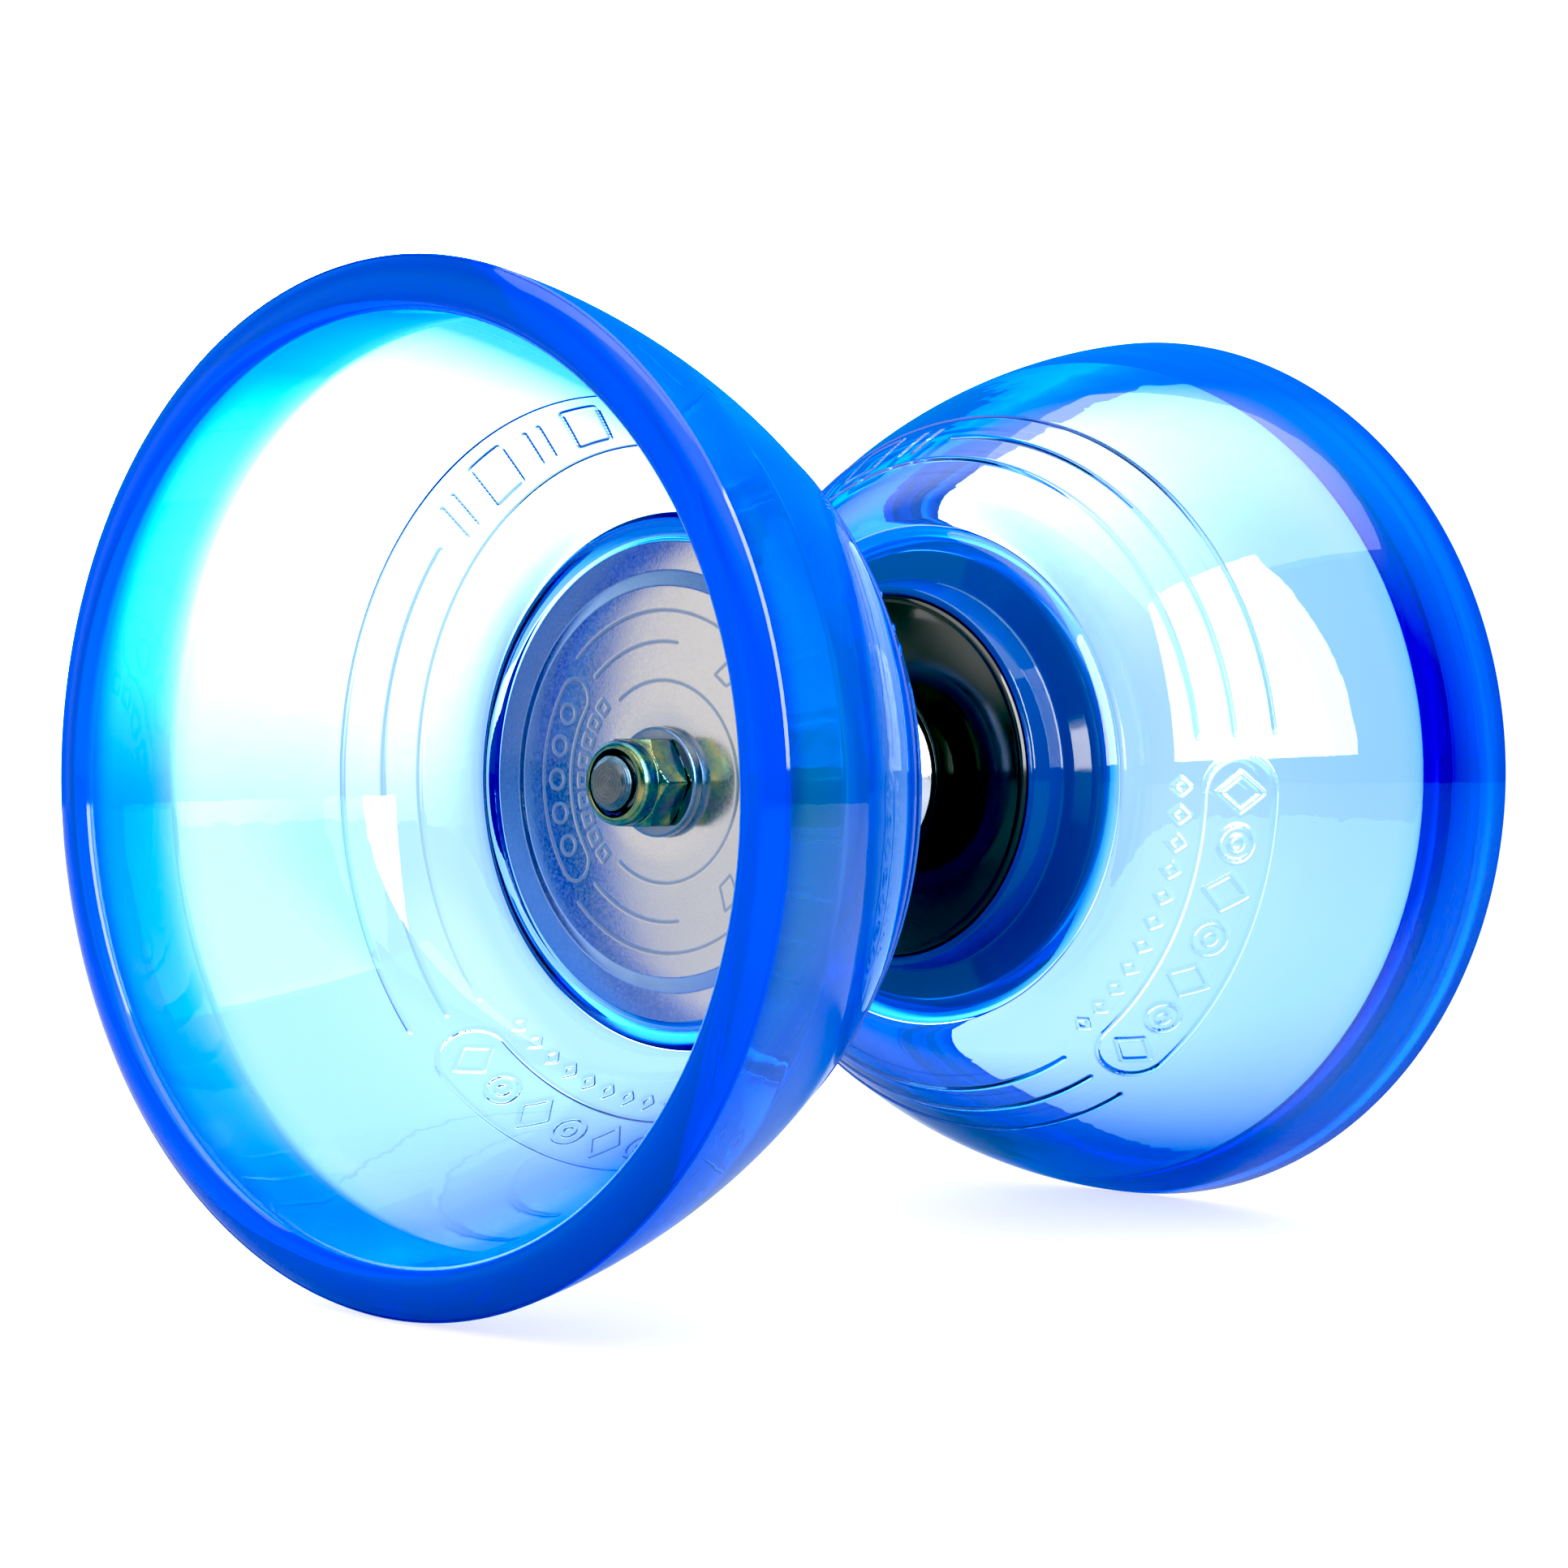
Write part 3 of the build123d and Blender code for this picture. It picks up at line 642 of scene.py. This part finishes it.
MATERIALS = {
    "cup_plastic": clear_plastic(),
    "plate_metal": plate_metal(),
    "hub_black": black_plastic(),
    "washer_steel": metal(
        "washer_bright_zinc", (0.36, 0.34, 0.35), 0.24, 0.09, 500, 0.3, (0.26, 0.30, 0.36)),
    "nut_steel": iridescent_zinc(),
    "insert_nylon": dull(
        "nut_black_nylon", (0.006, 0.006, 0.008), (0.014, 0.014, 0.017), 0.35),
    "spacer_steel": turned_steel("spacer_turned_steel", (0.60, 0.60, 0.60), 26000, 0.3),
    "race_steel": metal("race_ground_steel", (0.75, 0.75, 0.76), 0.12, 0.05, 900),
    "shield_steel": metal("shield_pressed_steel", (0.60, 0.60, 0.61), 0.3, 0.08, 500, 0.2),
    "ball_steel": metal("ball_polished_steel", (0.80, 0.80, 0.81), 0.08, 0.03, 900),
    "cage_steel": metal("cage_pressed_steel", (0.55, 0.54, 0.50), 0.35, 0.08, 500, 0.2),
    "shaft_steel": turned_steel("shaft_turned_steel", (0.27, 0.23, 0.20), 24000, 0.3),
    "barrel_metal": polished_barrel(),
    "clutch_steel": metal("clutch_drawn_steel", (0.60, 0.58, 0.52), 0.3, 0.08, 400, 0.2),
    "cage_plastic": dull("clutch_cage_nylon", (0.55, 0.50, 0.40), (0.48, 0.43, 0.33), 0.5),
    "spring_steel": metal("spring_rolled_steel", (0.50, 0.50, 0.50), 0.3, 0.06, 700, 0.15),
}

# ---------------------------------------------------------------- the object

for side, sign in SIDES.items():
    for node, make, slot in (
            ("plate", plate, "plate_metal"), ("hub", hub, "hub_black"),
            ("washer", washer, "washer_steel"), ("nut", nut, "nut_steel"),
            ("nut_insert", nut_insert, "insert_nylon")):
        add(make(f"{side}_{node}_visual", sign), "rotor", slot, MATERIALS[slot], f"{side}_{node}")
    add(cup(f"{side}_cup_visual", sign, BADGE_ANGLE[side]), "rotor", "cup_plastic",
        MATERIALS["cup_plastic"], f"{side}_cup")
    smear = dull(f"{side}_thread_lock_blue", (0.004, 0.02, 0.16), (0.002, 0.01, 0.08), 0.3, 900)
    add(thread_lock(f"{side}_thread_lock", sign), "rotor", "insert_nylon", smear)
add(shaft("shaft_visual"), "rotor", "shaft_steel", MATERIALS["shaft_steel"], "shaft")
add(barrel("barrel_visual"), "barrel", "barrel_metal", MATERIALS["barrel_metal"], "barrel")

# the CAD's own pieces take the materials of their record slots
SLOT_OF = {row["node"]: row["material_slot"] for row in frame["record"]["subparts"]}
for node, piece in frame["nodes"].items():
    for place in piece.material_slots:
        place.material = MATERIALS[SLOT_OF[node]]

# ---------------------------------------------------------------- floor, light and camera

FLOOR_RADII, FLOOR_SIDES = (0.02, 0.1, 0.3, 0.7, 1.5), 96
GLOW = 0.68


def floor_material():
    """It glows, to stay white under the object, and is dark blue to reflection rays."""
    m = Nodes("studio_floor")
    m.set(Base_Color=m.mix(m.noise(3, 3), (0.31, 0.31, 0.31), (0.29, 0.29, 0.30)), Roughness=0.7)
    mirrored = m.new("ShaderNodeLightPath").outputs["Is Reflection Ray"]
    m.set(Emission_Color=m.mix(mirrored, (1.0, 1.0, 1.0), (0.0, 0.12, 0.40)))
    m.set(Emission_Strength=GLOW, Specular_IOR_Level=0.1)
    return m.material


floor_points, floor_faces = [], []
for k, radius in enumerate(FLOOR_RADII):
    inner, outer = (k - 1) * FLOOR_SIDES, k * FLOOR_SIDES
    for j in range(FLOOR_SIDES):
        turn = 2 * pi * j / FLOOR_SIDES
        floor_points.append((radius * cos(turn), radius * sin(turn), cad_low.z))
        if k:
            q = (j + 1) % FLOOR_SIDES
            floor_faces.append([inner + j, outer + j, outer + q, inner + q])
floor_faces.append(list(range(FLOOR_SIDES)))
floor = solid("studio_floor", floor_points, floor_faces)
floor.data.materials.append(floor_material())


def panel(name, place, aim, width, height, radiance, only_gloss=False):
    """A rectangular light of a stated brightness; the watts follow from its size."""
    light = bpy.data.lights.new(name, "AREA")
    light.shape, light.size, light.size_y = "RECTANGLE", width, height
    light.energy = radiance * width * height * pi
    lamp = bpy.data.objects.new(name, light)
    lamp.location = place
    lamp.rotation_euler = (Vector(aim) - Vector(place)).to_track_quat("-Z", "Y").to_euler()
    bpy.context.scene.collection.objects.link(lamp)
    if only_gloss:
        lamp.visible_diffuse = False
    return lamp


panel("softbox_right", (0.30, -0.07, 0.21), (0.0, -0.07, 0.21), 0.33, 0.38, 13, only_gloss=True)
panel("softbox_top", (0.1, 0.0, 0.9), (0, 0, 0), 1.2, 1.2, 2.2)

world = bpy.data.worlds.new("studio")
bpy.context.scene.world = world
world.use_nodes = True
sky = world.node_tree
shade = sky.nodes["Background"]
direction = sky.nodes.new("ShaderNodeTexCoord").outputs["Generated"]
rays = sky.nodes.new("ShaderNodeLightPath").outputs


def sky_maths(operation, a, b):
    node = sky.nodes.new("ShaderNodeMath")
    node.operation = operation
    for socket, value in zip(node.inputs, (a, b)):
        if hasattr(value, "is_linked"):
            sky.links.new(value, socket)
        else:
            socket.default_value = value
    return node.outputs["Value"]


def lobe(towards, inner, outer, strength):
    """Light from a soft round patch of sky: full inside one angle, none past the other."""
    dot = sky.nodes.new("ShaderNodeVectorMath")
    dot.operation = "DOT_PRODUCT"
    sky.links.new(direction, dot.inputs[0])
    dot.inputs[1].default_value = Vector(towards).normalized()
    fade = sky.nodes.new("ShaderNodeMapRange")
    fade.interpolation_type = "SMOOTHSTEP"
    sky.links.new(sky_maths("ARCCOSINE", dot.outputs["Value"], 0.0), fade.inputs["Value"])
    for key, value in (("From Min", radians(inner)), ("From Max", radians(outer)),
                       ("To Min", strength), ("To Max", 0.0)):
        fade.inputs[key].default_value = value
    return fade.outputs["Result"]


def sky_light(base, *patches):
    total = base
    for patch in patches:
        total = sky_maths("ADD", lobe(*patch), total)
    return total


def blended(share, a, b):
    """a where share is 0, b where it is 1."""
    return sky_maths("ADD", sky_maths("MULTIPLY", sky_maths("SUBTRACT", 1.0, share), a),
                     sky_maths("MULTIPLY", share, b))


# Patches of sky for lobe: towards, full inside and none past these degrees, strength.
FRONT_DARK = ((-0.3, -1.0, 0.0), 40, 75, 0.8)             # taken away, but not for camera rays
OVERHEAD = ((0, 0, 1), 78, 91, 0.35)
REAR_WINDOW = ((-0.78, 0.60, 0.40), 12, 27, 8.0)
FRONT_SHEEN, TOP_SHEEN = ((-0.66, -0.75, 0.05), 20, 50, 0.8), ((0.25, -0.45, 0.86), 15, 45, 2.0)
BLUE_GLOW = ((-0.66, 0.75, 0.2), 35, 75, 0.7)
BACKDROP, DIM_ROOM, DIFFUSE_SKY, BLUE_ROOM = 1.15, 0.02, 1.5, 0.2

# The backdrop is for camera rays and rays through the glass, the mirrored room for reflections.
unlit_side = sky_maths("MULTIPLY", lobe(*FRONT_DARK),
                       sky_maths("SUBTRACT", 1.0, rays["Is Camera Ray"]))
open_sky = sky_light(BACKDROP, OVERHEAD, REAR_WINDOW)
backdrop = sky_maths("SUBTRACT", open_sky, unlit_side)
mirrored = sky_light(DIM_ROOM, FRONT_SHEEN, TOP_SHEEN)
seen = blended(rays["Is Reflection Ray"], backdrop, mirrored)
sky.links.new(blended(rays["Is Diffuse Ray"], seen, DIFFUSE_SKY), shade.inputs["Strength"])
shade.inputs["Color"].default_value = (1, 1, 1, 1)

# A blue glow that only reflections see.
blue_room = sky.nodes.new("ShaderNodeBackground")
blue_room.inputs["Color"].default_value = (0.0, 0.30, 0.90, 1)
glossy_only = sky_maths("SUBTRACT", rays["Is Reflection Ray"], rays["Is Diffuse Ray"])
sky.links.new(sky_maths("MULTIPLY", glossy_only, sky_light(BLUE_ROOM, BLUE_GLOW)),
              blue_room.inputs["Strength"])
both = sky.nodes.new("ShaderNodeAddShader")
sky.links.new(shade.outputs["Background"], both.inputs[0])
sky.links.new(blue_room.outputs["Background"], both.inputs[1])
sky.links.new(both.outputs["Shader"], sky.nodes["World Output"].inputs["Surface"])

camera_data = bpy.data.cameras.new("camera")
camera_data.sensor_width, camera_data.lens = 36.0, 84.39
camera = bpy.data.objects.new("camera", camera_data)
bpy.context.scene.collection.objects.link(camera)
right = Vector((0.7485, 0.66315, 0))
up = Vector((-0.0172, 0.0194, 0.99966))
forward = Vector((-0.6629, 0.7482, -0.0259))
turn = Matrix((right, up, -forward)).transposed().to_4x4()
camera.matrix_world = Matrix.Translation((0.3203, -0.3655, 0.0118)) @ turn
bpy.context.scene.camera = camera
look = bpy.context.scene.view_settings
look.view_transform = "Standard"
look.use_curve_mapping = True
look.curve_mapping.black_level = (0.05, 0.022, 0.02)
look.curve_mapping.update()
